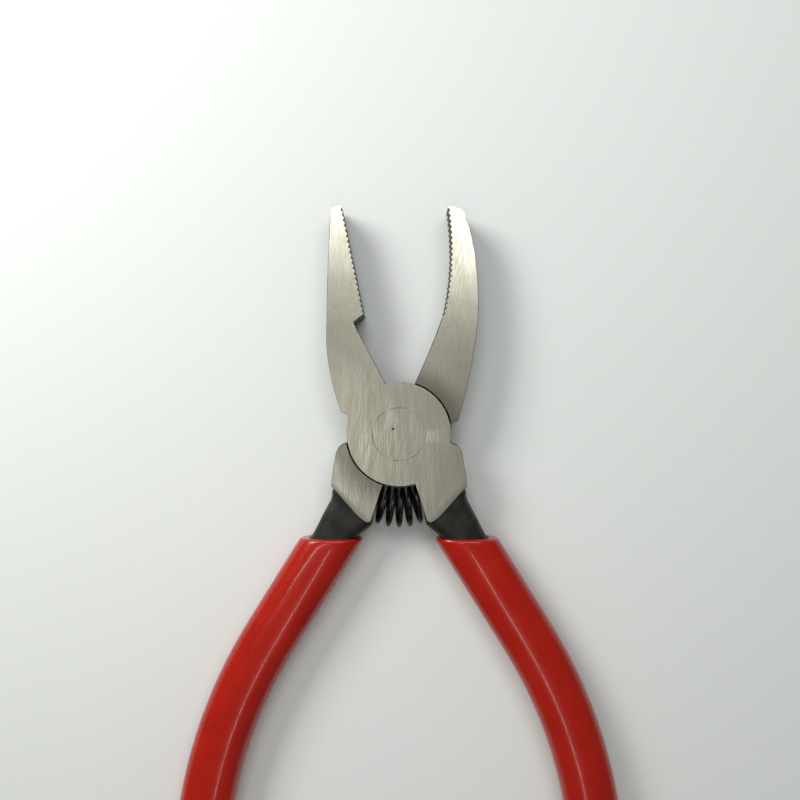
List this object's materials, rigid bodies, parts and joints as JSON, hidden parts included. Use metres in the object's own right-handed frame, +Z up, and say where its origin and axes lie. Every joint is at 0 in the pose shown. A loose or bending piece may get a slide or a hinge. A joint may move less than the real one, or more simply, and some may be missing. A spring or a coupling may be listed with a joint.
{
  "type": "crimping pliers",
  "caption": "Spring-opened hand pliers with one straight toothed jaw, one curved toothed jaw, a round lap joint and long dipped grips, for gripping, nipping and crimping.",
  "frame": {"origin": "on the pivot axis, at the ground under face of the head that the tool lies on", "axes": "+Z up along the pivot, +Y from the pivot towards the jaw tips, +X towards the curved jaw"},
  "size_m": [0.1232, 0.1993, 0.0124],
  "materials": {
    "ground_steel": "ground flats with fine lengthwise scratches, black oxide on teeth and forged shanks",
    "rivet_steel": "ground flush",
    "spring_wire": "black oiled spring wire",
    "red_vinyl": "glossy dip-moulded vinyl"
  },
  "bodies": {
    "straight_half": {"straight_jaw_half": "ground_steel", "pivot_rivet": "rivet_steel", "return_spring": "spring_wire", "right_grip_sleeve": "red_vinyl"},
    "curved_half": {"curved_jaw_half": "ground_steel", "left_grip_sleeve": "red_vinyl"}
  },
  "joints": [
    {"name": "jaw_pivot", "type": "hinge", "parent": "straight_half", "child": "curved_half", "pos_m": [0, 0, 0.0062], "axis": [0, 0, 1], "range_deg": [-21, 26.3], "stiffness_Nm_per_rad": 0.78, "deforming": ["return_spring"]}
  ]
}
